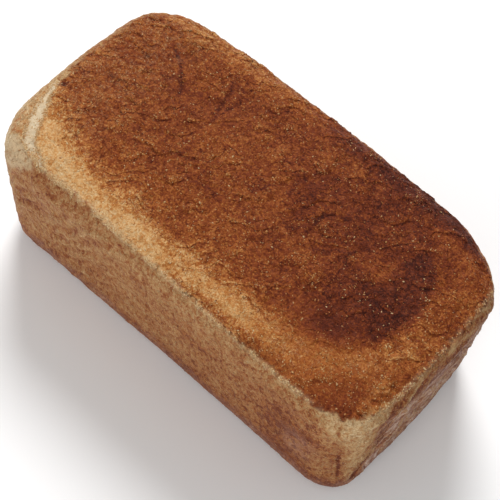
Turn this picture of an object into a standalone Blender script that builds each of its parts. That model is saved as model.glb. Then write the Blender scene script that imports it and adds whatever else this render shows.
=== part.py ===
# Tin loaf of wholemeal bread, uncut, with a crowned browned top, straight sides and rounded ends.
# Lengths are in metres. +X runs along the loaf, -Y is the front long side, +Z is up.
import math

import bmesh
import bpy
from mathutils import Vector, noise

# Overall size: half length, half width and height of the block before the crown and the bulges
HALF_LENGTH = 0.1175
HALF_WIDTH = 0.0633
HEIGHT = 0.0922

# Number of steps of the grid along the length, the width and the height
STEPS = (56, 32, 20)

# Radii in plan of the four upright corners, as (along X, along Y)
CORNER_LEFT_FRONT = (0.0221, 0.0302)
CORNER_LEFT_BACK = (0.0293, 0.0248)
CORNER_RIGHT_FRONT = (0.0201, 0.0160)
CORNER_RIGHT_BACK = (0.0410, 0.0268)

# Rounding of the top edge on each side, as (how far in, how far down)
RIM_LEFT = (0.0157, 0.0297)
RIM_RIGHT = (0.0141, 0.0089)
RIM_FRONT = (0.0154, 0.0140)
RIM_BACK = (0.0169, 0.0167)

# Rounding of the bottom edge, as (how far in, how far up); the left end is lifted more
FOOT = (0.0100, 0.0075)
FOOT_LEFT = (0.0175, 0.0240)

# Rise of the crown in the middle, and the fall of the top toward +Y
CROWN = 0.0040
SLOPE_Y = -0.0017

# Bulge of each wall in the middle, and how far the front wall is drawn in at its foot
BULGE_FRONT = 0.0003
BULGE_BACK = 0.0063
BULGE_LEFT = 0.0075
BULGE_RIGHT = 0.0076
FRONT_TUCK = 0.0016

# How much narrower the loaf is at the bottom, on each side
TAPER_X = -0.0009
TAPER_Y = 0.0018

# Share of a wall's bulge that is left at its foot
BULGE_AT_FOOT = 0.4

# Lean of the top toward +X and +Y, and the share by which the right end is narrower
LEAN_X = 0.0005
LEAN_Y = 0.0018
NARROWING = 0.0058

# Middle of the block in plan, from the middle of the finished loaf
BLOCK_X = -0.0005
BLOCK_Y = -0.0032

# Long swells of the whole crust: height, length, starting place and the share of them on the walls
SWELL_HEIGHT = 0.0009
SWELL_LENGTH = 0.045
SWELL_START = Vector((3.1, 7.4, 1.9))
SWELL_ON_WALLS = 0.5

# Wrinkles of the top: height, length, starting place, sharpness of their crests and the level they stand over
WRINKLE_HEIGHT = 0.0007
WRINKLE_LENGTH = 0.016
WRINKLE_START = Vector((11.2, 4.6, 8.3))
WRINKLE_SHARPNESS = 0.8
WRINKLE_LEVEL = 0.4

# Unevenness of the walls: height, length, starting place and its length upward as a share of that sideways
WALL_HEIGHT = 0.0004
WALL_LENGTH = 0.024
WALL_START = Vector((5.7, 2.2, 9.1))
WALL_UPWARD = 1.7

# The crust is wall where it faces upward by less than the first share, and top above the second
WALL_BELOW = 0.35
TOP_ABOVE = 0.85

# Height above the table at which the unevenness reaches its full size
LEVEL_HEIGHT = 0.014

# How far a line on the crust reaches, in its half widths
LINE_REACH = 3.0

# Lines on the crust, in millimetres: name, height (below zero is a hollow), half width, points along it
LINES = (
    ("front rim ridge", 0.85, 2.8, ((-90, -57, 93), (-69, -61, 90), (-8, -61, 90), (59, -63, 88),
                                    (102, -60, 89))),
    ("end rim ridge", 0.70, 2.8, ((110, -58, 89), (115, -51, 91), (120, -35, 90), (121, 0, 90),
                                  (118, 38, 87))),
    ("end upper fold", 0.50, 3.0, ((117, -51, 72), (121, -45, 75), (122, -30, 84), (122, -10, 86),
                                   (122, 20, 86))),
    ("end crease", -1.30, 3.0, ((118, -50, 14), (120, -44, 36), (122, -33, 66), (123, -26, 76), (124, 0, 76),
                                (123, 20, 62))),
    ("end lower fold", 0.40, 3.6, ((120, -42, 18), (123, -34, 44), (125, -20, 64), (125, 4, 67))),
    ("corner crease", -1.00, 3.2, ((111, -62, 70), (113, -61, 51), (114, -60, 35), (114, -59, 22))),
    ("left break", -0.90, 4.6, ((-112, -16, 92), (-108, -30, 94), (-104, -42, 94), (-99, -52, 94),
                                (-94, -59, 91))),
    ("left break lip", 0.60, 2.8, ((-108, -10, 93), (-102, -26, 95), (-98, -40, 95), (-91, -52, 94))),
    ("left tear", -0.90, 2.4, ((-92, -55, 93), (-86, -59, 92))),
    ("long crease", -1.10, 3.0, ((-82, 42, 92), (-79, 35, 93), (-71, 25, 94), (-61, 15, 95))),
    ("long crease branch", -0.80, 2.8, ((-79, 10, 94), (-69, 23, 94), (-70, 36, 93), (-70, 51, 92))),
    ("middle crease", -0.80, 2.8, ((-44, 8, 95), (-44, 24, 95), (-47, 42, 93))),
    ("middle furrow", -0.70, 2.8, ((-52, -10, 95), (-41, 2, 96), (-38, 18, 95))),
    ("centre furrow", -0.70, 2.8, ((-3, -10, 96), (3, -3, 96), (12, 13, 96))),
    ("right furrow", -0.70, 2.6, ((27, -4, 96), (35, 2, 96), (39, 14, 95), (47, 16, 95))),
    ("right crease", -0.90, 2.8, ((49, -7, 95), (53, 2, 95), (59, 4, 95), (63, 12, 95))),
    ("broad fold", 0.90, 4.4, ((52, -18, 96), (58, -11, 96), (64, -3, 96), (71, 1, 95), (86, 0, 94))),
)


# Plain crust: colour and roughness
CRUST_COLOUR = (0.30, 0.12, 0.045, 1.0)
CRUST_ROUGHNESS = 0.7

# Lengths below these count as nothing: in a division, and between points of the grid
TINY = 1e-9
SAME_PLACE = 1e-6


def clear_scene():
    for item in list(bpy.data.objects):
        bpy.data.objects.remove(item, do_unlink=True)


def crust_material():
    material = bpy.data.materials.new("browned_crust")
    material.use_nodes = True
    shader = material.node_tree.nodes["Principled BSDF"]
    shader.inputs["Base Color"].default_value = CRUST_COLOUR
    shader.inputs["Roughness"].default_value = CRUST_ROUGHNESS
    return material


def smooth_step(value, low, high):
    t = min(1.0, max(0.0, (value - low) / (high - low)))
    return t * t * (3.0 - 2.0 * t)


def corner_radii(x, y):
    if x < 0:
        return CORNER_LEFT_FRONT if y < 0 else CORNER_LEFT_BACK
    return CORNER_RIGHT_FRONT if y < 0 else CORNER_RIGHT_BACK


def round_plan(x, y):
    """Rounds the upright corners. Gives a point in plan, its depth behind the wall and the wall's facing."""
    rx, ry = corner_radii(x, y)
    px, py = x * HALF_LENGTH, y * HALF_WIDTH
    core_x = min(HALF_LENGTH - rx, max(rx - HALF_LENGTH, px))
    core_y = min(HALF_WIDTH - ry, max(ry - HALF_WIDTH, py))
    dx, dy = (px - core_x) / rx, (py - core_y) / ry
    far = max(abs(dx), abs(dy))
    span = math.hypot(dx, dy)
    if span > TINY:
        keep = 1.0 + (far / span - 1.0) * far * far
        dx, dy = dx * keep, dy * keep
        px, py = core_x + dx * rx, core_y + dy * ry
    if abs(dx) > TINY and abs(dy) > TINY:
        span = math.hypot(dx, dy)
        ex, ey = dx / span, dy / span
        nx, ny = ex / rx, ey / ry
        size = math.hypot(nx, ny)
        nx, ny = nx / size, ny / size
        return px, py, (1.0 - span) * (ex * rx * nx + ey * ry * ny), nx, ny
    depth_x, depth_y = HALF_LENGTH - abs(px), HALF_WIDTH - abs(py)
    if depth_x < depth_y:
        return px, py, depth_x, math.copysign(1.0, px), 0.0
    return px, py, depth_y, 0.0, math.copysign(1.0, py)


def edge_radii(nx, ny, low):
    """Rounding of the top or bottom edge where the wall faces (nx, ny)."""
    if low:
        lift = nx * nx if nx < 0 else 0.0
        return tuple(a + (b - a) * lift for a, b in zip(FOOT, FOOT_LEFT))
    end = RIM_LEFT if nx < 0 else RIM_RIGHT
    side = RIM_FRONT if ny < 0 else RIM_BACK
    return tuple(a * nx * nx + b * ny * ny for a, b in zip(end, side))


def loaf_point(c):
    """Carries a point of the cube of half size 1 onto the loaf."""
    px, py, depth, nx, ny = round_plan(c.x, c.y)
    half = HEIGHT / 2
    pz = c.z * half
    across, down = edge_radii(nx, ny, c.z < 0)
    a = max(0.0, 1.0 - max(0.0, depth) / across)
    b = max(0.0, 1.0 - (half - abs(pz)) / down)
    keep = max(a, b) / max(TINY, math.hypot(a, b))
    inward = a * (1.0 - keep) * across
    px, py = px - nx * inward, py - ny * inward
    pz = math.copysign(abs(pz) - b * (1.0 - keep) * down, pz)
    u, v, w = px / HALF_LENGTH, py / HALF_WIDTH, (pz / half + 1.0) / 2.0
    middle_x, middle_y = 1.0 - u * u, 1.0 - v * v
    rise = BULGE_AT_FOOT + (1.0 - BULGE_AT_FOOT) * w
    x = px - u * TAPER_X * (1.0 - w) + LEAN_X * (w - 0.5)
    y = py - v * TAPER_Y * (1.0 - w) + LEAN_Y * (w - 0.5)
    z = pz + half + CROWN * middle_x * middle_y * w * w + SLOPE_Y * v * w
    x += math.copysign(u * u * middle_y * rise * (BULGE_LEFT if u < 0 else BULGE_RIGHT), u)
    y += math.copysign(v * v * middle_x * rise * (BULGE_FRONT if v < 0 else BULGE_BACK), v)
    if v < 0:
        y += v * v * middle_x * FRONT_TUCK * (1.0 - w)
    return Vector((x + BLOCK_X, y * (1.0 - NARROWING * u) + BLOCK_Y, z))


def distance_to_line(point, line):
    best = math.inf
    for start, end in zip(line[:-1], line[1:]):
        along = end - start
        t = min(1.0, max(0.0, (point - start).dot(along) / along.length_squared))
        best = min(best, (point - start - along * t).length)
    return best


def line_relief(point, lines):
    height = 0.0
    for rise, width, points in lines:
        gap = distance_to_line(point, points) / width
        if gap < LINE_REACH:
            height += rise * math.exp(-gap * gap)
    return height


def crust_relief(point, normal, lines):
    """Height of the crust over the smooth form: long swells, wrinkles on the top, and the named lines."""
    top = smooth_step(normal.z, WALL_BELOW, TOP_ABOVE)
    swell = noise.noise(point / SWELL_LENGTH + SWELL_START)
    fold = noise.noise(point / WRINKLE_LENGTH + WRINKLE_START)
    wall = noise.noise(Vector((point.x, point.y, point.z / WALL_UPWARD)) / WALL_LENGTH + WALL_START)
    wrinkle = 1.0 - 2.0 * abs(fold) ** WRINKLE_SHARPNESS
    height = SWELL_HEIGHT * swell * (SWELL_ON_WALLS + (1.0 - SWELL_ON_WALLS) * top)
    height += top * WRINKLE_HEIGHT * (wrinkle - WRINKLE_LEVEL)
    height += (1.0 - top) * WALL_HEIGHT * wall
    height += line_relief(point, lines)
    return height * smooth_step(point.z, 0.0, LEVEL_HEIGHT)


def grid_cube():
    """A cube of half size 1 whose faces carry an even grid of squares."""
    mesh = bmesh.new()
    bmesh.ops.create_cube(mesh, size=2.0)
    for axis, steps in enumerate(STEPS):
        mesh.edges.ensure_lookup_table()
        along = [e for e in mesh.edges if abs(e.verts[0].co[axis] - e.verts[1].co[axis]) > SAME_PLACE]
        bmesh.ops.subdivide_edges(mesh, edges=along, cuts=steps - 1, use_grid_fill=True)
    return mesh


def centre_on_table(mesh):
    xs = [v.co.x for v in mesh.verts]
    ys = [v.co.y for v in mesh.verts]
    zs = [v.co.z for v in mesh.verts]
    move = Vector(((min(xs) + max(xs)) / 2, (min(ys) + max(ys)) / 2, min(zs)))
    bmesh.ops.translate(mesh, verts=mesh.verts, vec=-move)


def build_loaf(collection):
    lines = []
    for _, rise, width, points in LINES:
        lines.append((rise / 1000, width / 1000, [Vector(p) / 1000 for p in points]))
    mesh = grid_cube()
    for vert in mesh.verts:
        vert.co = loaf_point(vert.co)
    bmesh.ops.recalc_face_normals(mesh, faces=mesh.faces)
    mesh.normal_update()
    moves = [vert.normal * crust_relief(vert.co, vert.normal, lines) for vert in mesh.verts]
    for vert, move in zip(mesh.verts, moves):
        vert.co += move
    centre_on_table(mesh)
    data = bpy.data.meshes.new("loaf")
    mesh.to_mesh(data)
    mesh.free()
    data.shade_smooth()
    data.materials.append(crust_material())
    collection.objects.link(bpy.data.objects.new("loaf", data))


def main():
    clear_scene()
    collection = bpy.data.collections.new("tin_loaf")
    bpy.context.scene.collection.children.link(collection)
    build_loaf(collection)


main()
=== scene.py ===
# Looks of the uncut wholemeal tin loaf: its crust, bran flecks and torn edges, with floor, lights and camera.
# Lengths are in metres in the part's frame. Places and lengths on the crust are in millimetres.
import math

import bmesh
import bpy
import numpy as np
from mathutils import Matrix, Vector, noise


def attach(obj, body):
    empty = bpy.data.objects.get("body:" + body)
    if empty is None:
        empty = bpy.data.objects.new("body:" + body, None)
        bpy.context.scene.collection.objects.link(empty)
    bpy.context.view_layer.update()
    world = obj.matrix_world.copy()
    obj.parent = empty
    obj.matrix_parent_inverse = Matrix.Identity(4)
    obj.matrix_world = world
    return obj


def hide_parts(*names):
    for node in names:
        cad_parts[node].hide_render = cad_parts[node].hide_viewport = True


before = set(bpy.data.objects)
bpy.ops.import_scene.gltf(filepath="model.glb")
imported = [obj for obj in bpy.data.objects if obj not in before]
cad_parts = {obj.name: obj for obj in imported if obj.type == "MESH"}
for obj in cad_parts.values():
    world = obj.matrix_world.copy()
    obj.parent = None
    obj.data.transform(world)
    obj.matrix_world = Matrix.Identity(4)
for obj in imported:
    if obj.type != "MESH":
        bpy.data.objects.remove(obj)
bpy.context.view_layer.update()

MILLIMETRES = 1000.0  # in a metre
TINY = 1e-6
ASKEW = (0.31, 0.52, 0.79)  # a direction that no normal of the crust has
HASH_DIRECTION, HASH_SCALE = (12.99, 78.23, 37.72), 43758.5  # make a random share of a cell's centre

# The photograph's camera, worked out from the loaf's outline and rim lines in it
IMAGE_PIXELS = 500
SENSOR = 36.0
FOCAL_PIXELS = 1272
CAMERA_AZIMUTH = 38.65
CAMERA_ELEVATION = 61.0
CAMERA_ROLL = 4.17
CAMERA_DISTANCE = 0.6482
AIM = Vector((-0.0005, -0.0032, 0.047))
SHIFT = (0.0189, -0.0254)

# Studio: place, size and power of each light, the strength of the white world, and the floor
KEY_LIGHT = ((-0.81, 1.02, 1.45), 0.75, 31.5)
FILL_LIGHT = ((0.3, -1.6, 0.7), 1.2, 12.0)
WORLD_STRENGTH = 0.44
FLOOR_HALF = 12.0
FLOOR_DROP = 0.0002
FLOOR_COLOUR = (0.97, 0.97, 0.97, 1.0)

SURFACE_LEVELS = 2
SEED = 11
FLECKS = 16000
THREADS = 3500
CRUMBS = 3500

# Colours from pale to dark, as places along a ramp and sRGB values
CRUST_TONES = (
    (0.00, (226, 202, 160)),
    (0.13, (211, 178, 132)),
    (0.25, (198, 149, 93)),
    (0.37, (175, 113, 56)),
    (0.49, (152, 84, 35)),
    (0.61, (129, 63, 24)),
    (0.73, (107, 45, 18)),
    (0.86, (84, 33, 16)),
    (1.00, (58, 22, 14)),
)
WALL_TONES = (
    (0.00, (214, 188, 148)),
    (0.22, (194, 160, 116)),
    (0.42, (178, 138, 93)),
    (0.58, (166, 119, 75)),
    (0.74, (153, 96, 54)),
    (0.88, (137, 76, 41)),
    (1.00, (112, 56, 34)),
)
# Colours of a purple-grey sheen painted on the walls, from pale to dark
PAINTED_SHEEN_TONES = ((0.15, (204, 180, 168)), (0.45, (172, 140, 124)), (0.70, (138, 96, 78)), (0.95, (104, 60, 44)))
KHAKI_TONES = (
    (0.15, (206, 182, 146)), (0.40, (190, 160, 120)), (0.65, (174, 134, 90)), (0.90, (164, 100, 54)),
)
DOUGH_TONES = (
    (0.15, (212, 192, 160)), (0.45, (200, 174, 140)), (0.70, (184, 148, 106)), (0.95, (160, 110, 68)),
)
WORN_TONES = ((0.3, (215, 205, 190)), (0.7, (255, 255, 255)))
THREAD_COLOUR = (206, 178, 136)
RIM_COLOUR = (216, 192, 154)

# How dark the top and the walls are before any local change, from 0 to 1
TOP_TONE = 0.61
WALL_TONE = 0.66

# The rims, and the strip of bare dough at the torn left shoulder: lines of (x, y, z)
FRONT_RIM = (
    (-92, -57, 93), (-77, -60.4, 91.8), (-62, -59.8, 92.6), (-32, -60.4, 92.2), (-5, -61.2, 91.4),
    (24, -62, 90.5), (59, -63, 89.5), (86, -62, 89.5), (110, -59, 88),
)
END_RIM = ((110, -59, 88), (115, -54, 90), (119, -45, 90), (120, -21, 90), (120, 15, 89), (118, 38, 87))
BACK_RIM_HEIGHT = 84.0
LEFT_RIM_HEIGHT = 91.0
RIM_WIDTH = 1.3
CREAM_BAND = (
    (-113, -20, 90), (-109, -30, 92), (-105.5, -37.5, 92.5), (-102, -45, 93), (-97, -52, 93), (-92, -56, 93),
    (-86, -58, 93), (-79, -60.5, 91.5),
)

# Tables of (place, value) with straight runs between, read by steps()
CREAM_WIDTH = (  # x to half width
    (-113, 2.0), (-109, 2.2), (-105.5, 2.6), (-102, 3.5), (-97, 3.8), (-92, 2.4), (-86, 1.7), (-79, 1.0),
)
GOLD_EDGE = ((-112, -18), (-96, -30), (-84, -37), (-59, -42), (0, -44), (56, -45))  # x to y of the inner edge
GOLD_DEPTH = (  # x to how much paler the gold band is
    (-110, 0.25), (-85, 0.32), (-60, 0.36), (-30, 0.38), (0, 0.33),
    (40, 0.32), (62, 0.17), (84, 0.06), (100, -0.09),
)
FAR_STRIP = ((-110, 1.1), (-50, 1.0), (-20, 0.5), (10, 0.0), (40, -0.5), (110, -0.8))  # x to share
NEAR_CORNER = ((0, 116), (35, 115), (54, 113), (79, 105), (89, 92))  # z to x where the pale corner starts
SHOULDER = ((-66, -80), (-60, -86), (-52, -97), (-45, -102), (-30, -109), (-20, -113), (0, -116))  # y to x
SHOULDER_FOOT = ((-107, 74), (-100, 77), (-93, 83), (-87, 87), (-80, 90))  # x to z
KHAKI_SHARE = ((-48, 1.0), (-36, 0.80), (-10, 0.65), (20, 0.35))  # y to share

# Ovals of the top: centre x and y, half length along x and along y
DARK_OVAL = (66, 0, 37.5, 40.0)
DARK_UPPER = (56, 20, 46.0, 30.0)
DARK_CORE = (90, 6, 14.0, 38.0)
# Ovals baked darker, or paler where the amount, the last number, is negative
PATCHES = (
    (-25, 14, 36, 26, 0.04), (66, 36, 18, 14, 0.05), (20, -15, 18, 10, 0.07), (46, -24, 10, 10, 0.07),
    (66, -10, 8, 5, 0.06), (-58, 13, 14, 10, 0.04), (-25, -7, 12, 8, 0.04), (0, 33, 20, 9, 0.04),
    (105, 12, 7, 20, 0.05), (52, 0, 9, 4, -0.06), (85, -19, 9, 6, -0.05), (64, 19, 8, 6, 0.05),
    (80, 18, 7, 6, -0.04), (5, -53, 10, 5, 0.08), (-16, -43, 11, 5, 0.14), (42, -49, 16, 4, -0.08),
    (20, -50, 8, 5, -0.06), (-88, -54, 9, 5, -0.06), (-30, 6, 12, 8, -0.04), (-5, -12, 10, 6, -0.04),
    (5, -24, 12, 7, -0.05), (45, -37, 9, 5, 0.06),
)

# Wrinkles of the top: how far apart, how high each stands over the next, and the directions across them
LIP_SPACING = 8.0
LIP_HEIGHT = 0.75
WRINKLE_AXES = np.array(((0.80, -0.60, 0.0), (0.60, 0.80, 0.0), (0.0, 0.0, 1.0)))
WRINKLE_STRETCH = (0.72, 1.0, 1.0)
FOLD_SPACING = 9.5
FOLD_CENTRE = (-2, 18)  # y and z in the near end, around which its folds bend

# Long creases: strength, width and line. A line wholly above TOP_LEVEL is on the top: its heights count little
CREASE_DEPTH = 0.55
FULL_CREASE = 0.75
TOP_LEVEL = 92.5
CREASES = (
    (0.85, 0.8, ((-82, 36, 93), (-75, 31, 93), (-68, 24, 93), (-61, 16, 93))),
    (0.45, 0.8, ((-82, 4, 93), (-75, 13, 93), (-71, 22, 93))),
    (0.65, 0.9, ((-47, 42, 94), (-43, 33, 94), (-41, 24, 93), (-38, 15, 95))),
    (0.45, 0.8, ((-41, 2, 96), (-40, 9, 96), (-39, 17, 95), (-37, 25, 95), (-36, 33, 94))),
    (0.50, 0.8, ((3, -3, 96), (7, 5, 96), (11, 12, 96))),
    (0.45, 0.8, ((17, 22, 95), (16, 15, 95), (18, 8, 96))),
    (0.50, 0.8, ((28, -5, 96), (33, -1, 96), (38, 1, 96), (36, 9, 96), (39, 15, 95), (48, 19, 95))),
    (0.60, 0.8, ((44, -5, 95), (52, -2, 95), (52, 2, 95), (59, 4, 95), (62, 11, 95))),
    (0.40, 0.8, ((-30, -16, 95), (-22, -18, 95), (-12, -15, 96), (-4, -17, 96))),
    (0.35, 0.8, ((-64, -12, 95), (-56, -16, 95), (-48, -14, 95))),
    (1.20, 1.3, ((118, -50, 14), (120, -44, 36), (122, -33, 66), (123, -26, 76), (124, 0, 76), (123, 20, 62))),
    (1.20, 0.6, ((111.8, -59.6, 52), (112.7, -59.2, 43), (113.2, -58.6, 34), (114.2, -58.2, 22))),
    (0.80, 0.7, ((109, -60.3, 89), (109.2, -62, 82), (110, -61.5, 75))),
    (1.80, 1.5, ((-109.6, -17.6, 91.5), (-108, -18.6, 92.3))),
)

# Small pieces: their least and greatest sizes, the outline of a flake, and the corners and faces of a crumb
FOOT_HEIGHT = 4  # they keep above it
FLECK_LENGTH = (0.25, 1.0)
FLECK_WIDTH = (0.30, 0.65)  # share of the length
FLECK_THICKNESS = (0.08, 0.18)
THREAD_REACH = (0.30, 0.90)
THREAD_THICKNESS = (0.10, 0.20)
THREAD_LIFT = (-0.10, 0.12)
THREAD_SINK = 0.08
CRUMB_SIZE = (0.22, 0.64)
WALL_BIAS = 0.05  # how much paler the small pieces of the walls start
FLAKE_OUTLINE = ((1.0, 0.0), (0.4, 0.9), (-0.7, 0.8), (-1.0, -0.2), (-0.3, -1.0), (0.7, -0.7))
CRUMB_CORNERS = ((1, 0, 0), (-1, 0, 0), (0, 1, 0), (0, -1, 0), (0, 0, 1), (0, 0, -1))
CRUMB_FACES = ((0, 2, 4), (2, 1, 4), (1, 3, 4), (3, 0, 4), (2, 0, 5), (1, 2, 5), (3, 1, 5), (0, 3, 5))


def smooth(value, low, high):
    """0 before low, 1 past high and a soft step between; it falls instead where low is the greater."""
    t = np.clip((value - low) / (high - low), 0.0, 1.0)
    return t * t * (3.0 - 2.0 * t)


def bell(value, width):
    return np.exp(-(value / width) ** 2)


def steps(place, table):
    """The value of a table of (place, value) rows at each place, straight between rows."""
    places, values = zip(*table)
    return np.interp(place, places, values)


def oval(x, y, centre_x, centre_y, half_x, half_y):
    """How far out of an oval each point is: 0 in the middle, 1 on its outline."""
    return np.hypot((x - centre_x) / half_x, (y - centre_y) / half_y)


def field(points, length, offset=0.0):
    """Smooth noise from -1 to 1 with lumps of the given length; the offset makes one field unlike another."""
    shifted = points / length + offset
    return np.array([noise.noise(p) for p in shifted.tolist()])


def shove(points, length, offset):
    """Smooth noise from -1 to 1 in each of three directions."""
    return np.stack([field(points, length, offset + k) for k in range(3)], axis=1)


def line_gap(points, line):
    """Distance of each point from a line of straight runs."""
    best = np.full(len(points), np.inf)
    for start, end in zip(line[:-1], line[1:]):
        start, end = np.array(start, float), np.array(end, float)
        along = end - start
        t = np.clip((points - start) @ along / (along @ along), 0.0, 1.0)
        best = np.minimum(best, np.linalg.norm(points - start - t[:, None] * along, axis=1))
    return best


def linear(red, green, blue):
    """An sRGB colour, 0 to 255, as linear light."""
    out = []
    for part in (red, green, blue):
        part = part / 255
        out.append(part / 12.92 if part < 0.04045 else ((part + 0.055) / 1.055) ** 2.4)
    return (*out, 1.0)


class Shader:
    """Builds a material: a call adds a node and gives its output; an input is a number or such an output."""

    def __init__(self, name):
        self.material = bpy.data.materials.new(name)
        self.material.use_nodes = True
        self.tree = self.material.node_tree
        self.surface = self.tree.nodes["Principled BSDF"]
        self.place = self.tree.nodes.new("ShaderNodeTexCoord").outputs["Object"]

    def feed(self, socket, value):
        if isinstance(value, bpy.types.NodeSocket):
            self.tree.links.new(value, socket)
        elif value is not None:
            socket.default_value = value

    def math(self, operation, a, b=None):
        node = self.tree.nodes.new("ShaderNodeMath")
        node.operation = operation
        for socket, value in zip(node.inputs, (a, b)):
            self.feed(socket, value)
        return node.outputs[0]

    def add(self, *values):
        total = values[0]
        for value in values[1:]:
            total = self.math("ADD", total, value)
        return total

    def times(self, a, b):
        return self.math("MULTIPLY", a, b)

    def span(self, value, low, high, out_low=0.0, out_high=1.0):
        """A soft step from out_low, where the value is low, to out_high, where it is high."""
        node = self.tree.nodes.new("ShaderNodeMapRange")
        node.interpolation_type = "SMOOTHSTEP"
        for socket, number in zip(node.inputs, (value, low, high, out_low, out_high)):
            self.feed(socket, number)
        return node.outputs[0]

    def attribute(self, name):
        node = self.tree.nodes.new("ShaderNodeAttribute")
        node.attribute_name = name
        return node.outputs["Fac"]

    def stretched(self, scale, rotation=(0, 0, 0)):
        node = self.tree.nodes.new("ShaderNodeMapping")
        self.feed(node.inputs["Vector"], self.place)
        node.inputs["Scale"].default_value = scale
        node.inputs["Rotation"].default_value = rotation
        return node.outputs[0]

    def noise(self, size, detail=2.0, rough=0.5, warp=0.0, place=None):
        """Noise from 0 to 1 with lumps of the given size in metres."""
        node = self.tree.nodes.new("ShaderNodeTexNoise")
        self.feed(node.inputs["Vector"], place or self.place)
        node.inputs["Scale"].default_value = 1.0 / size
        node.inputs["Detail"].default_value = detail
        node.inputs["Roughness"].default_value = rough
        node.inputs["Distortion"].default_value = warp
        return node.outputs["Fac"]

    def cells(self, size, feature, place):
        node = self.tree.nodes.new("ShaderNodeTexVoronoi")
        node.feature = feature
        self.feed(node.inputs["Vector"], place)
        node.inputs["Scale"].default_value = 1.0 / size
        return node

    def plates(self, size, sweep, ripple):
        """A wrinkled skin: the height of its plates, about -0.5 to 0.5, and the cracks between them."""
        laid = self.stretched(WRINKLE_STRETCH, (0.0, 0.0, math.radians(-38)))
        for width, amount in ((size * 1.1, sweep), (size * 0.35, ripple)):
            swirl = self.tree.nodes.new("ShaderNodeTexNoise")
            self.feed(swirl.inputs["Vector"], self.place)
            swirl.inputs["Scale"].default_value = 1.0 / width
            push = self.vector("SUBTRACT", swirl.outputs["Color"], (0.5, 0.5, 0.5))
            laid = self.vector("ADD", laid, self.vector("SCALE", push, 2.0 * amount))
        cell = self.cells(size, "F1", laid)
        lean = self.vector("SUBTRACT", cell.outputs["Color"], (0.5, 0.5, 0.5))
        here, centre = (self.vector("SCALE", spot, 1.0 / size) for spot in (laid, cell.outputs["Position"]))
        inside = self.vector("SUBTRACT", here, centre)
        tilt = self.vector("DOT_PRODUCT", inside, lean)
        level = self.math("SUBTRACT", self.noise(size * 0.9, 1, 0.5, 0.0, cell.outputs["Position"]), 0.5)
        edge = self.cells(size, "DISTANCE_TO_EDGE", laid).outputs["Distance"]
        return self.add(self.times(tilt, 1.2), self.times(level, 1.5)), self.span(edge, 0.07, 0.0)

    def vector(self, operation, a, b):
        node = self.tree.nodes.new("ShaderNodeVectorMath")
        node.operation = operation
        self.feed(node.inputs[0], a)
        self.feed(node.inputs["Scale" if operation == "SCALE" else 1], b)
        return node.outputs["Value" if operation == "DOT_PRODUCT" else "Vector"]

    def ramp(self, value, stops):
        node = self.tree.nodes.new("ShaderNodeValToRGB")
        self.feed(node.inputs[0], value)
        elements = node.color_ramp.elements
        while len(elements) < len(stops):
            elements.new(0.5)
        for element, (position, colour) in zip(elements, stops):
            element.position = position
            element.color = linear(*colour)
        return node.outputs["Color"]

    def blend(self, share, a, b, mode="MIX"):
        node = self.tree.nodes.new("ShaderNodeMix")
        node.data_type = "RGBA"
        node.blend_type = mode
        colours = [socket for socket in node.inputs if socket.type == "RGBA"]
        self.feed(node.inputs[0], share)
        for socket, value in zip(colours, (a, b)):
            self.feed(socket, value)
        return [socket for socket in node.outputs if socket.type == "RGBA"][0]

    def bump(self, height):
        """A normal from a height in metres."""
        node = self.tree.nodes.new("ShaderNodeBump")
        node.inputs["Strength"].default_value = 1.0
        node.inputs["Distance"].default_value = 1.0
        self.feed(node.inputs["Height"], height)
        return node.outputs[0]


def crust_surface(node):
    """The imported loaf, welded, put back into squares and subdivided, as a new mesh."""
    mesh = bmesh.new()
    mesh.from_mesh(node.data)
    bmesh.ops.remove_doubles(mesh, verts=mesh.verts, dist=TINY)
    bmesh.ops.join_triangles(mesh, faces=mesh.faces, angle_face_threshold=math.radians(60),
                             angle_shape_threshold=math.radians(80))
    data = bpy.data.meshes.new("crust")
    mesh.to_mesh(data)
    mesh.free()
    loaf = bpy.data.objects.new("crust", data)
    bpy.context.scene.collection.objects.link(loaf)
    rounding = loaf.modifiers.new("rounding", "SUBSURF")
    rounding.levels = SURFACE_LEVELS
    rounding.render_levels = SURFACE_LEVELS
    bpy.context.view_layer.update()
    smooth_mesh = bpy.data.meshes.new_from_object(loaf.evaluated_get(bpy.context.evaluated_depsgraph_get()))
    loaf.modifiers.clear()
    loaf.data = smooth_mesh
    smooth_mesh.name = "crust"
    return loaf


def read_surface(mesh):
    """Points in millimetres and unit normals of a mesh."""
    points = np.empty(len(mesh.vertices) * 3)
    normals = np.empty(len(mesh.vertices) * 3)
    mesh.vertices.foreach_get("co", points)
    mesh.vertices.foreach_get("normal", normals)
    return points.reshape(-1, 3) * MILLIMETRES, normals.reshape(-1, 3)


def cells(points, length, offset=0.0):
    """For each point, how far it is inside its ragged cell, 0 at the border, and that cell's random share."""
    inside, share = np.empty(len(points)), np.empty(len(points))
    for k, p in enumerate((points / length + offset).tolist()):
        gaps, centres = noise.voronoi(p)
        inside[k] = gaps[1] - gaps[0]
        share[k] = math.sin(centres[0].dot(HASH_DIRECTION)) * HASH_SCALE % 1.0
    return inside, share


def side_share(points, normals):
    """1 on the walls, 0 on the top; the change follows the rim."""
    x, y, z = points.T
    front = steps(x, [(place[0], place[2]) for place in FRONT_RIM])
    end = steps(y, [(place[1], place[2]) for place in END_RIM])
    level = np.abs(normals[:, :2])
    outward = level / np.maximum(level.sum(axis=1), TINY)[:, None]
    height = outward[:, 1] * np.where(y < 0, front, BACK_RIM_HEIGHT)
    height += outward[:, 0] * np.where(x > 0, end, LEFT_RIM_HEIGHT)
    near_corner = smooth(x, 90, 106) * smooth(y, -38, -52)
    height += 2.4 * near_corner
    height += 1.3 * field(points, 3.4, 4.0) + 0.8 * field(points, 1.6, 4.5)
    return smooth(z, height + 0.6, height - 0.6)


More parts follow.
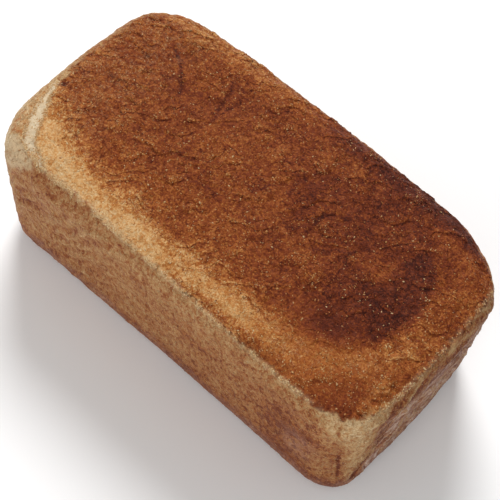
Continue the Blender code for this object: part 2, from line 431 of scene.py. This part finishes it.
def top_tone(points):
    """How dark the top is baked, from 0, raw dough, to 1, nearly black."""
    x, y, _ = points.T
    wander = 3.2 * field(points, 13.0, 1.0) + 2.2 * field(points, 4.5, 2.0) + 1.1 * field(points, 2.4, 2.5)
    tone = TOP_TONE + 0.04 * field(points, 26.0, 3.0)

    # The pale edges: the gold band along the front, the far strip and the left edge
    inner = steps(x, GOLD_EDGE) + wander
    gold = 0.45 * smooth(y, inner + 11.0, inner - 5.0) + 0.55 * smooth(y, inner + 2.0, inner - 13.0)
    far_strip = smooth(y + 0.6 * wander, 43, 53)
    left_edge = smooth(x + 0.6 * wander, -100, -113)
    left_front = smooth(x, -60, -92) * smooth(y, 18, -8)
    tone -= gold * steps(x, GOLD_DEPTH)
    tone -= 0.13 * far_strip * steps(x, FAR_STRIP)
    tone -= 0.06 * left_edge + 0.03 * left_front

    # The brown lines inside the front and far rims, and the pale rim of the near corner
    front_line = smooth(y, -54.5, -59.5) * smooth(x, -8, 18) * smooth(x, 84, 50)
    far_line = smooth(y, 42, 53) * smooth(x, -12, 22)
    near_corner = smooth(x, 107, 114) * smooth(y, -30, -40) * smooth(field(points, 4.0, 26.0), -0.45, 0.15)
    tone += 0.19 * front_line + 0.16 * far_line - 0.20 * near_corner
    for *place, amount in PATCHES:
        tone += amount * bell(oval(x, y, *place), 1.0)

    # The darkest oval, with a paler patch of painted sheen in it and a paler ring around its front
    gap = oval(x, y, *DARK_OVAL)
    lower = smooth(gap + 0.04 * field(points, 9.0, 5.0), 1.06, 0.80) * smooth(x, 50, 82) * smooth(y, 3, -2)
    upper = smooth(oval(x, y, *DARK_UPPER) + 0.10 * field(points, 12.0, 5.5), 1.15, 0.65)
    core = smooth(oval(x, y, *DARK_CORE), 1.1, 0.6) * smooth(gap, 1.06, 0.90)
    painted_sheen_patch = smooth(y, -0.5, 1.5) * smooth(y, 20, 8) * smooth(x, 58, 63) * smooth(x, 88, 82)
    ring = smooth(gap, 0.98, 1.12) * smooth(gap, 1.50, 1.25) * smooth(y, 14, -8) * smooth(x, 50, 80)
    tone += np.maximum(np.maximum(0.22 * lower, 0.12 * upper), 0.26 * core)
    # The patch of painted sheen is paler
    tone -= 0.08 * painted_sheen_patch + 0.10 * ring
    return np.clip(tone, 0.0, 1.0)


def wall_tone(points, normals):
    """How dark a wall is, from 0, pale, to 1, dark red-brown."""
    x, y, z = points.T
    end = smooth(normals[:, 0], 0.6, 0.9)
    drift = 3.0 * field(points, 16.0, 20.0)
    tone = WALL_TONE + 0.09 * field(points, 22.0, 21.0)

    # Darker: the foot, partly its own darker bake and partly painted shade; the right and middle of the long
    # walls, back of the left end, far wall, near end
    foot = smooth(z + drift, 26, 9)
    right = smooth(x + drift, 58, 84) * smooth(x + drift, 106, 98) * smooth(z, 92, 78)
    middle = smooth(z + drift, 74, 56) * smooth(x, -20, 30) * (1.0 - end)
    left_back = smooth(y, -32, -12) * smooth(x, -100, -112)
    far_back = smooth(y, 40, 60) * smooth(x, 0, 30)
    near_end = end * smooth(y + drift, -52, -42) * (0.4 + 0.6 * smooth(z + drift, 45, 70))
    near_end *= smooth(z + 1.5 * field(points, 5.0, 25.0), 86, 78)
    tone += 0.24 * foot + 0.16 * right + 0.09 * middle + 0.10 * left_back + 0.12 * far_back + 0.20 * near_end

    # Paler: under the rims, the left shoulder, the near corner and the left end
    under_rim = smooth(z, 77, 88) * smooth(x, -40, 10) * (1.0 - 1.7 * end * smooth(y, -50, -36))
    shoulder = smooth(z + drift, 66, 84) * smooth(x, -100, -108) * smooth(y, 12, -14)
    corner_start = steps(z, NEAR_CORNER)
    corner = smooth(x + drift, corner_start, corner_start + 5) * smooth(y, -42, -54) * smooth(z, 10, 40)
    left_end = smooth(x, -94, -108) * smooth(z, 20, 60)
    tone -= 0.10 * under_rim + 0.20 * shoulder + 0.22 * corner + 0.14 * left_end
    return np.clip(tone, 0.0, 1.0)


def painted_sheen_share(points, normals):
    """Where a purple-grey sheen is painted: on the near end, the foot and one patch of the front wall."""
    x, y, z = points.T
    drift = 4.0 * field(points, 14.0, 22.0)
    near_end = smooth(normals[:, 0], 0.6, 0.9) * smooth(y + drift, -48, -38) * smooth(z + drift, 84, 74)
    foot = 0.5 * smooth(z + drift, 20, 8)
    patch = 0.3 * smooth(np.hypot(x - 92, (z - 42) * 0.9) + drift, 16, 8) * (y < -50)
    return np.clip(np.maximum(np.maximum(near_end, foot), patch), 0.0, 1.0)


def wall_folds(points, normals):
    """The walls' folds: place and strength of the lipped ones at the near end, and the rounded ones elsewhere."""
    x, y, z = points.T
    slant = (0.72 * z + 0.69 * np.sign(y) * x) / FOLD_SPACING + 0.9 * field(points, 17.0, 34.0)
    arch = np.hypot(y - FOLD_CENTRE[0], z - FOLD_CENTRE[1]) / 7.0 + 0.7 * field(points, 17.0, 35.0)
    on_end = smooth(np.abs(normals[:, 0]), 0.80, 0.95) * smooth(y, -56, -46) * smooth(x, 0, 20)
    on_side = smooth(np.abs(normals[:, 1]), 0.80, 0.95) * (0.25 + 0.75 * smooth(x, -10, -50))
    uneven = smooth(field(points, 12.0, 36.0), -0.30, 0.15) * smooth(z, 89, 84)
    return arch, 0.9 * on_end * uneven, on_side * uneven * np.cos(2 * math.pi * slant)


def end_streaks(points, normals):
    """Fine streaks along the folds of the near end, from -1 to 1."""
    x, y, z = points.T
    out = np.hypot(y - FOLD_CENTRE[0], z - FOLD_CENTRE[1])
    along = 45.0 * np.arctan2(y - FOLD_CENTRE[0], z - FOLD_CENTRE[1])
    laid = np.stack((out + 1.5 * field(points, 12.0, 37.0), along / 7.0, x * 0.2), axis=1)
    streaks = 0.8 * field(laid, 1.9, 38.0) + 0.6 * field(laid, 4.0, 39.0)
    return streaks * smooth(normals[:, 0], 0.6, 0.9) * smooth(y, -56, -46)


def crust_height(points, normals, top, pale):
    """Fine relief, the wrinkles' phase and strength, and the rounded folds of the sides."""
    turned = points @ WRINKLE_AXES
    warp = shove(points, 9.0, 7.0)
    laid = (turned + 5.0 * warp + 1.6 * shove(points, 3.5, 7.3)) * WRINKLE_STRETCH
    inside, share = cells(laid, 10.0, 10.0)
    plates = (share - 0.5) * smooth(inside, 0.0, 0.14) - 0.45 * bell(inside, 0.06)
    inside, share = cells(laid, 4.6, 30.0)
    scales = (share - 0.5) * smooth(inside, 0.0, 0.25) - 0.5 * bell(inside, 0.12)
    crumple = np.abs(field(laid, 6.0, 11.0)) ** 0.8 - 0.3
    grain = field(points, 2.4, 12.0)
    ripple = field(points * (0.35, 0.35, 1.0) + 1.2 * warp, 6.5, 13.0)
    pits = field(points * (1.0, 1.0, 0.6), 3.2, 14.0)

    wave = laid[:, 1] / LIP_SPACING + 0.9 * field(turned, 19.0, 31.0) + 0.20 * field(points, 4.0, 32.0)
    stand = smooth(field(laid, 9.0, 33.0), -0.18, 0.26) * top
    wall_wave, wall_stand, rounded = wall_folds(points, normals)
    wave = np.where(top > 0.5, wave, wall_wave)
    stand += wall_stand * (1.0 - top)
    through = wave % 1.0
    lip = LIP_HEIGHT * stand * (smooth(through, 0.0, 0.13) - through + 0.2)

    on_top = lip + 0.85 * plates + 0.55 * scales + 0.60 * crumple + 0.25 * grain
    on_wall = 1.6 * lip + 0.60 * rounded + 0.40 * ripple + 0.45 * pits + 0.30 * grain
    on_wall *= 0.35 + 0.65 * smooth(points[:, 2], 8, 35)
    return top * (1.0 - 0.60 * pale) * on_top + (1.0 - top) * on_wall, wave, stand, rounded


def crease_share(points):
    """How deep in a long crease each point is, 1 at the bottom of one of full strength."""
    wobbled = points + 1.2 * shove(points, 4.0, 17.0)
    crease = np.zeros(len(points))
    for strength, width, line in CREASES:
        in_plan = min(place[2] for place in line) > TOP_LEVEL
        scale = np.array((1.0, 1.0, 0.2 if in_plan else 1.0))
        gap = line_gap(wobbled * scale, np.array(line) * scale)
        crease = np.maximum(crease, strength / FULL_CREASE * bell(gap, width))
    return crease


def shape_crust(loaf):
    """Adds the fine relief to the crust and stores the shares that its material reads."""
    points, normals = read_surface(loaf.data)
    x, y, z = points.T
    side = side_share(points, normals)
    tone = top_tone(points)
    ragged = 1.3 * field(points, 3.2, 6.0) + 0.8 * field(points, 1.8, 6.5)
    half = steps(x, CREAM_WIDTH)
    band_gap = line_gap(points, CREAM_BAND)
    cream = smooth(band_gap + 0.8 * ragged, half + 1.5, half - 1.3)
    on_rim = bell(np.minimum(line_gap(points, FRONT_RIM), line_gap(points, END_RIM)), RIM_WIDTH)
    crease = crease_share(points)

    height, wave, stand, rounded = crust_height(points, normals, 1.0 - side, smooth(tone, 0.42, 0.24))
    torn = 0.45 * field(points, 2.6, 15.0) + 0.35 * field(points * (0.6, 1.0, 1.0), 4.5, 16.0)
    height += cream * (torn - 0.55 - height)
    height += 0.50 * bell(band_gap + ragged - half - 1.0, 0.9) * smooth(x, -112, -106)
    height -= CREASE_DEPTH * crease
    height += 0.85 * on_rim * (0.6 + 0.9 * field(points, 4.0, 23.0))
    height *= smooth(z, 0.5, 5.0)
    moved = (points + normals * height[:, None]) / MILLIMETRES
    loaf.data.vertices.foreach_set("co", moved.ravel())
    loaf.data.update()

    shoulder, shoulder_foot = steps(y, SHOULDER), steps(x, SHOULDER_FOOT)
    khaki = smooth(x + ragged, shoulder + 1.0, shoulder - 3.0) * steps(y, KHAKI_SHARE) * (1.0 - cream)
    khaki *= smooth(z + 2.0 * ragged, shoulder_foot - 3.0, shoulder_foot + 3.0)
    calm = 0.75 * smooth(tone, 0.46, 0.28) + 0.55 * smooth(x, 40, 75) * smooth(y, -18, -34)
    crumbly = smooth(field(points, 3.0, 24.0), -0.45, 0.15)
    shares = {
        "side": side,
        "tone": tone,
        "wall": wall_tone(points, normals),
        "painted_sheen": painted_sheen_share(points, normals),
        "cream": cream,
        "relief": height,
        "rough": np.maximum(side * 0.9, np.clip(1.0 - calm, 0.15, 1.0)),
        "khaki": khaki,
        "crease": crease,
        "wave": wave,
        "stand": stand,
        "speckled": smooth(x, 25, -20),
        "webbed": np.maximum(smooth(tone, 0.58, 0.40), 0.8 * smooth(x + 3.0 * ragged, -60, -92)),
        "browned": 0.30 * smooth(z, 86, 91) * smooth(y, -58, -50) - 0.28 * smooth(y, -54, -60),
        "rounded": rounded,
        "streaks": end_streaks(points, normals),
        "rim": on_rim * crumbly * (0.75 + 0.25 * smooth(x, 0, -30) - 0.35 * smooth(x, 108, 114)),
    }
    for name, values in shares.items():
        loaf.data.attributes.new(name, "FLOAT", "POINT").data.foreach_set("value", values)


class CrustShader(Shader):
    """The loaf's crust. Its markings are made once, and the colours and the bump share them."""

    def __init__(self):
        super().__init__("wholemeal crust")
        self.rough = self.attribute("rough")
        self.crease = self.attribute("crease")
        self.patches = self.noise(0.011, 2, 0.5, 0.3)
        self.mottle = self.noise(0.0048, 3, 0.6, 0.5)
        self.blobs = self.noise(0.0024, 2, 0.6, 0.8)
        self.grain = self.noise(0.0010, 2, 0.7)
        slanted = self.stretched((1.0, 1.0, 0.60), (0.0, math.radians(20), 0.0))
        self.web = self.noise(0.0046, 3, 0.6, 0.8, slanted)
        self.spots = self.noise(0.0020, 2, 0.6, 0.8, slanted)
        self.threads = self.strands(0.0034, 1.2, 0.030, 0.0022, 0.46, 0.58)
        fibres = self.strands(0.0024, 1.6, 0.040, 0.0030, 0.42, 0.56)
        self.webbing = self.times(fibres, self.attribute("webbed"))
        self.plate_height, plate_crack = self.plates(0.0100, 0.0080, 0.0026)
        self.scale_height, scale_crack = self.plates(0.0042, 0.0030, 0.0012)
        widest = self.math("MAXIMUM", plate_crack, self.times(scale_crack, 0.6))
        self.cracks = self.times(widest, self.span(self.patches, 0.42, 0.58))

        # The wrinkles: their profile, the painted shade under each lip and the painted light on it
        stand = self.attribute("stand")
        through = self.math("FRACT", self.add(self.attribute("wave"), self.swing(self.blobs, 0.16)))
        under = self.math("MAXIMUM", self.span(through, 0.10, 0.02), self.span(through, 0.90, 1.0))
        on = self.times(self.span(through, 0.08, 0.13), self.span(through, 0.32, 0.14))
        self.lip = self.times(stand, self.math("SUBTRACT", self.span(through, 0.0, 0.08), through))
        self.painted_lip_shade = self.times(stand, under)
        self.painted_lip_light = self.times(stand, on)

    def swing(self, value, amount):
        """Noise turned into a swing either side of zero."""
        return self.times(self.math("SUBTRACT", value, 0.5), amount)

    def strands(self, size, warp, width, gap_size, low, high):
        """Thin wandering lines, broken off where a second noise is low."""
        middle = self.math("ABSOLUTE", self.math("SUBTRACT", self.noise(size, 2, 0.6, warp), 0.5))
        return self.times(self.span(middle, width, 0.0), self.span(self.noise(gap_size, 1, 0.5), low, high))

    def top_colour(self):
        baked = self.attribute("tone")
        blotch = self.span(self.blobs, 0.46, 0.58)
        edge = self.times(self.span(baked, 0.16, 0.32), self.span(baked, 0.62, 0.46))
        edge = self.times(edge, self.attribute("speckled"))
        tone = self.add(
            baked,
            0.01,
            self.swing(self.patches, 0.06),
            self.times(self.rough, self.add(
                self.swing(self.mottle, 0.16),
                self.swing(blotch, 0.08),
                # Darker in the cracks between plates: partly their own darker crust, partly painted shade
                self.times(self.cracks, 0.08),
                # Painted shade under each lip and painted light on it
                self.times(self.painted_lip_shade, 0.08),
                self.times(self.painted_lip_light, -0.07),
                # Paler where the crust stands high and darker in its hollows: painted light and shade
                self.times(self.attribute("relief"), -0.05),
            )),
            self.times(self.swing(self.grain, 0.80), self.add(0.4, self.times(self.rough, 0.6))),
            self.swing(self.blobs, 0.16),
            self.times(edge, self.add(self.swing(blotch, 0.04), self.swing(self.mottle, 0.08))),
            # Darker in the long creases: partly their own darker crust, partly painted shade
            self.times(self.crease, 0.20),
            self.times(self.threads, -0.15),
            self.times(self.webbing, -0.04),
        )
        share = self.times(self.webbing, 0.40)
        return self.blend(share, self.ramp(tone, CRUST_TONES), linear(*THREAD_COLOUR))

    def wall_colour(self):
        streaks = self.attribute("streaks")
        tone = self.add(
            self.attribute("wall"),
            self.swing(self.patches, 0.20),
            self.swing(self.web, 0.55),
            self.times(self.span(self.spots, 0.50, 0.60), 0.13),
            self.swing(self.spots, 0.60),
            self.swing(self.grain, 0.80),
            self.times(self.threads, -0.26),
            self.times(self.attribute("rounded"), -0.09),
            self.times(streaks, 0.45),
            # Painted shade under each lip and painted light on it
            self.times(self.painted_lip_shade, 0.28),
            self.times(self.painted_lip_light, -0.18),
            # Darker in the long creases: partly their own darker crust, partly painted shade
            self.times(self.crease, 0.50),
            -0.03,
        )
        # How dark the painted purple-grey sheen is
        painted_sheen_tone = self.add(
            0.43,
            self.swing(self.web, 0.9),
            self.swing(self.spots, 0.8),
            self.swing(self.patches, 0.5),
            self.times(streaks, 0.7),
            # Painted shade under each lip and painted light on it
            self.times(self.painted_lip_shade, 0.5),
            self.times(self.painted_lip_light, -0.3),
            # Darker in the long creases: partly their own darker crust, partly painted shade
            self.times(self.crease, 0.6),
        )
        # Blend towards the painted sheen where its share is high
        share = self.times(self.attribute("painted_sheen"), self.span(self.web, 0.42, 0.60, 0.15, 0.80))
        return self.blend(share, self.ramp(tone, WALL_TONES), self.ramp(painted_sheen_tone, PAINTED_SHEEN_TONES))

    def khaki_colour(self):
        """The dull crust outside the torn strip of the left shoulder."""
        browned = self.add(0.38, self.attribute("browned"))
        grain, spots = self.swing(self.grain, 1.0), self.swing(self.spots, 1.1)
        speckles = self.add(self.swing(self.web, 1.8), grain, spots)
        return self.ramp(self.add(browned, speckles), KHAKI_TONES)

    def dough_colour(self):
        """The bare dough of the torn strip."""
        grain, blobs = self.swing(self.grain, 0.25), self.swing(self.blobs, 0.4)
        mottled = self.add(self.swing(self.mottle, 0.7), grain, blobs)
        return self.ramp(self.add(0.30, mottled), DOUGH_TONES)

    def relief(self):
        """Height of the finest relief, in metres."""
        wrinkled = self.add(
            self.times(self.lip, 0.00040),
            self.times(self.plate_height, 0.00050),
            self.times(self.scale_height, 0.00040),
            self.times(self.cracks, -0.00025),
            self.times(self.mottle, 0.0012),
        )
        return self.add(
            self.times(self.rough, wrinkled),
            self.times(self.blobs, 0.0010),
            self.times(self.grain, 0.00045),
            self.times(self.threads, 0.00012),
        )


def crust_material():
    s = CrustShader()
    colour = s.blend(s.attribute("side"), s.top_colour(), s.wall_colour())
    colour = s.blend(s.times(s.attribute("khaki"), 0.75), colour, s.khaki_colour())
    cream = s.attribute("cream")
    border = s.times(s.times(cream, s.math("SUBTRACT", 1.0, cream)), 4.0)
    ragged = s.times(border, s.add(s.swing(s.blobs, 1.3), s.swing(s.grain, 0.8)))
    colour = s.blend(s.span(s.add(cream, ragged), 0.35, 0.65), colour, s.dough_colour())
    colour = s.blend(s.times(s.attribute("rim"), 0.7), colour, linear(*RIM_COLOUR))
    s.feed(s.surface.inputs["Base Color"], colour)
    s.feed(s.surface.inputs["Normal"], s.bump(s.relief()))
    s.feed(s.surface.inputs["Roughness"], s.span(s.blobs, 0.3, 0.7, 0.50, 0.75))
    s.surface.inputs["Specular IOR Level"].default_value = 0.12
    return s.material


def bran_material():
    s = Shader("bran")
    tint = s.attribute("tint")
    colour = s.blend(s.attribute("wall"), s.ramp(tint, CRUST_TONES), s.ramp(tint, WALL_TONES))
    worn = s.ramp(s.noise(0.0006, 2, 0.6), WORN_TONES)
    s.feed(s.surface.inputs["Base Color"], s.blend(1.0, colour, worn, "MULTIPLY"))
    s.feed(s.surface.inputs["Roughness"], s.span(s.noise(0.0008), 0.3, 0.7, 0.35, 0.6))
    s.surface.inputs["Specular IOR Level"].default_value = 0.3
    return s.material


class Ground:
    """The finished crust, for laying small pieces on it."""

    def __init__(self, loaf):
        mesh = loaf.data
        self.points, self.normals = read_surface(mesh)
        self.areas = np.empty(len(mesh.polygons))
        mesh.polygons.foreach_get("area", self.areas)
        corners = np.empty(len(mesh.polygons) * 4, dtype=np.int32)
        mesh.polygons.foreach_get("vertices", corners)
        self.corners = corners.reshape(-1, 4)
        self.shares = {}
        for name in ("tone", "wall", "side", "cream", "relief", "rim"):
            values = np.empty(len(mesh.vertices))
            mesh.attributes[name].data.foreach_get("value", values)
            self.shares[name] = values

    def raised(self, strength):
        """A weight that favours the raised crust and leaves out the foot."""
        return (self.points[:, 2] > FOOT_HEIGHT) * np.exp(strength * np.clip(self.shares["relief"], -1, 1))

    def darkness(self, vert):
        s = self.shares
        return np.where(s["side"][vert] > 0.5, s["wall"][vert] - WALL_BIAS, s["tone"][vert])

    def pick(self, rng, count, weight):
        """Random places: points and normals, two directions along the crust, and vertex numbers."""
        chance = self.areas * weight[self.corners[:, 0]]
        faces = rng.choice(len(chance), size=count, p=chance / chance.sum())
        u, v = rng.uniform(size=(2, count, 1))
        a, b, c, d = (self.points[self.corners[faces, k]] for k in range(4))
        place = (a * (1 - u) + b * u) * (1 - v) + (d * (1 - u) + c * u) * v
        vert = self.corners[faces, 0]
        up = self.normals[vert]
        turn = rng.uniform(0, 2 * math.pi, size=(count, 1))
        side = np.cross(up, ASKEW)
        side /= np.linalg.norm(side, axis=1, keepdims=True)
        other = np.cross(up, side)
        along = side * np.cos(turn) + other * np.sin(turn)
        return place, up, along, np.cross(up, along), vert


def joined(name, points, faces, shares):
    """One mesh from an array of pieces (pieces, corners, 3) in millimetres with the same faces each."""
    pieces, size, _ = points.shape
    data = bpy.data.meshes.new(name)
    every = (np.array(faces)[None] + (np.arange(pieces) * size)[:, None, None]).reshape(-1, 3)
    data.vertices.add(pieces * size)
    data.vertices.foreach_set("co", (points / MILLIMETRES).ravel())
    data.loops.add(every.size)
    data.loops.foreach_set("vertex_index", every.ravel())
    data.polygons.add(len(every))
    data.polygons.foreach_set("loop_start", np.arange(len(every)) * 3)
    data.update(calc_edges=True)
    for share, values in shares.items():
        data.attributes.new(share, "FLOAT", "POINT").data.foreach_set("value", np.repeat(values, size))
    piece = bpy.data.objects.new(name, data)
    bpy.context.scene.collection.objects.link(piece)
    return piece


def bran_flecks(ground, rng, count):
    """Flat bran flakes pressed into the crust."""
    s = ground.shares
    weight = ground.raised(1.5) * (1.0 - 0.6 * s["side"])
    weight *= (0.4 + 0.6 * smooth(np.maximum(s["tone"], s["side"]), 0.28, 0.45)) * (1.0 - 0.9 * s["cream"])
    place, up, along, across, vert = ground.pick(rng, count, weight)
    length = FLECK_LENGTH[0] + np.ptp(FLECK_LENGTH) * rng.beta(1.3, 4.0, size=(count, 1))
    width = length * rng.uniform(*FLECK_WIDTH, size=(count, 1))
    thick = rng.uniform(*FLECK_THICKNESS, size=(count, 1))
    tilt = rng.uniform(-0.6, 0.6, size=(count, 1)) * thick
    points = []
    for a, b in FLAKE_OUTLINE:
        points.append(place + along * a * length + across * b * width + up * (0.02 + tilt * a))
    points += [place + up * thick, place - up * thick]
    faces = [(k, (k + 1) % 6, 6) for k in range(6)] + [((k + 1) % 6, k, 7) for k in range(6)]
    local = ground.darkness(vert)
    tint = np.clip(local - rng.uniform(0.04, 0.38, size=count), 0.04, 1.0)
    rusty = rng.uniform(size=count) < np.interp(local, (0.15, 0.5), (0.40, 0.12))
    tint = np.where(rusty, local + rng.uniform(0.05, 0.20, size=count), tint)
    tint = np.where(rng.uniform(size=count) < 0.20, rng.uniform(0.08, 0.34, size=count), tint)
    return joined("bran_flecks", np.stack(points, axis=1), faces, {"tint": tint, "wall": s["side"][vert]})


def bran_threads(ground, rng, count):
    """Thin curved shreds of bran and crust, lying on the surface."""
    s = ground.shares
    weight = ground.raised(2.5) * (1.0 - 0.3 * s["side"]) * (1.0 - 0.9 * s["cream"])
    place, up, along, across, vert = ground.pick(rng, count, weight)
    reach = rng.uniform(*THREAD_REACH, size=(count, 1))
    bend = rng.normal(0, 0.45, size=(count, 1)) * reach
    thin = rng.uniform(*THREAD_THICKNESS, size=(count, 1))
    lift = rng.uniform(*THREAD_LIFT, size=(count, 1))
    points = [place - along * reach + across * bend - up * THREAD_SINK]
    for step in (-0.5, 0.0, 0.5):
        middle = place + along * step * reach + across * bend * step * step + up * (0.03 + lift * step)
        points += [middle + across * thin, middle - across * thin, middle + up * 0.12]
    points.append(place + along * reach + across * bend - up * THREAD_SINK)
    faces = [(0, 2, 1), (0, 3, 2), (0, 1, 3), (10, 7, 8), (10, 8, 9), (10, 9, 7)]
    for first in (1, 4):
        for k in range(3):
            a, b = first + k, first + (k + 1) % 3
            faces += [(a, b, a + 3), (b, b + 3, a + 3)]
    local = ground.darkness(vert)
    tint = np.clip(local - rng.uniform(0.05, 0.34, size=count), 0.04, 1.0)
    return joined("bran_threads", np.stack(points, axis=1), faces, {"tint": tint, "wall": s["side"][vert]})


def rim_crumbs(ground, rng, count):
    """Small rough crumbs where the crust tore along the rim and the left shoulder."""
    s = ground.shares
    edge = s["cream"] * (1.0 - s["cream"]) * 4.0
    weight = s["rim"] ** 2 + 0.4 * edge + 0.02 * s["cream"]
    place, up, along, across, _ = ground.pick(rng, count, weight)
    size = CRUMB_SIZE[0] + np.ptp(CRUMB_SIZE) * rng.beta(1.5, 3.5, size=(count, 1))
    points = []
    for a, b, c in CRUMB_CORNERS:
        reach = size * rng.uniform(0.6, 1.3, size=(count, 1))
        points.append(place + (along * a * 1.3 + across * b + up * c * 0.7) * reach)
    tint = rng.uniform(0.0, 0.30, size=count)
    return joined("rim_crumbs", np.stack(points, axis=1), CRUMB_FACES, {"tint": tint, "wall": np.zeros(count)})


def floor():
    mesh = bmesh.new()
    bmesh.ops.create_grid(mesh, x_segments=1, y_segments=1, size=FLOOR_HALF)
    data = bpy.data.meshes.new("floor")
    mesh.to_mesh(data)
    mesh.free()
    plane = bpy.data.objects.new("floor", data)
    plane.location.z = -FLOOR_DROP
    bpy.context.scene.collection.objects.link(plane)
    s = Shader("pale floor")
    s.surface.inputs["Base Color"].default_value = FLOOR_COLOUR
    s.surface.inputs["Roughness"].default_value = 0.9
    data.materials.append(s.material)
    return plane


def soft_light(name, place, size, power):
    data = bpy.data.lights.new(name, "AREA")
    data.shape = "DISK"
    data.size = size
    data.energy = power
    lamp = bpy.data.objects.new(name, data)
    lamp.location = place
    lamp.rotation_euler = (-Vector(place)).to_track_quat("-Z", "Y").to_euler()
    bpy.context.scene.collection.objects.link(lamp)


def studio():
    world = bpy.data.worlds.new("studio")
    world.use_nodes = True
    sky = world.node_tree.nodes["Background"]
    sky.inputs["Color"].default_value = (1.0, 1.0, 1.0, 1.0)
    sky.inputs["Strength"].default_value = WORLD_STRENGTH
    bpy.context.scene.world = world
    bpy.context.scene.view_settings.view_transform = "Standard"
    soft_light("key", *KEY_LIGHT)
    soft_light("fill", *FILL_LIGHT)


def camera():
    azimuth, elevation = math.radians(CAMERA_AZIMUTH), math.radians(CAMERA_ELEVATION)
    level = Vector((math.sin(azimuth), -math.cos(azimuth), 0.0))
    back = level * math.cos(elevation) + Vector((0.0, 0.0, math.sin(elevation)))
    right = Vector((math.cos(azimuth), math.sin(azimuth), 0.0))
    right.rotate(Matrix.Rotation(math.radians(CAMERA_ROLL), 3, back))
    up = back.cross(right)
    data = bpy.data.cameras.new("camera")
    data.sensor_width = SENSOR
    data.lens = FOCAL_PIXELS / IMAGE_PIXELS * SENSOR
    data.shift_x, data.shift_y = SHIFT
    eye = bpy.data.objects.new("camera", data)
    turned = Matrix((right, up, back)).transposed().to_4x4()
    eye.matrix_world = Matrix.Translation(AIM + back * CAMERA_DISTANCE) @ turned
    bpy.context.scene.collection.objects.link(eye)
    bpy.context.scene.camera = eye


def main():
    loaf = crust_surface(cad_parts["loaf"])
    shape_crust(loaf)
    loaf.data.materials.clear()
    loaf.data.materials.append(crust_material())
    loaf.data.shade_smooth()
    ground = Ground(loaf)
    rng = np.random.default_rng(SEED)
    flecks, threads = bran_flecks(ground, rng, FLECKS), bran_threads(ground, rng, THREADS)
    small = (flecks, threads, rim_crumbs(ground, rng, CRUMBS))
    bran = bran_material()
    for piece in small:
        piece.data.materials.append(bran)
    for piece in (loaf, *small):
        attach(piece, "root")
    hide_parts("loaf")
    floor()
    studio()
    camera()


main()
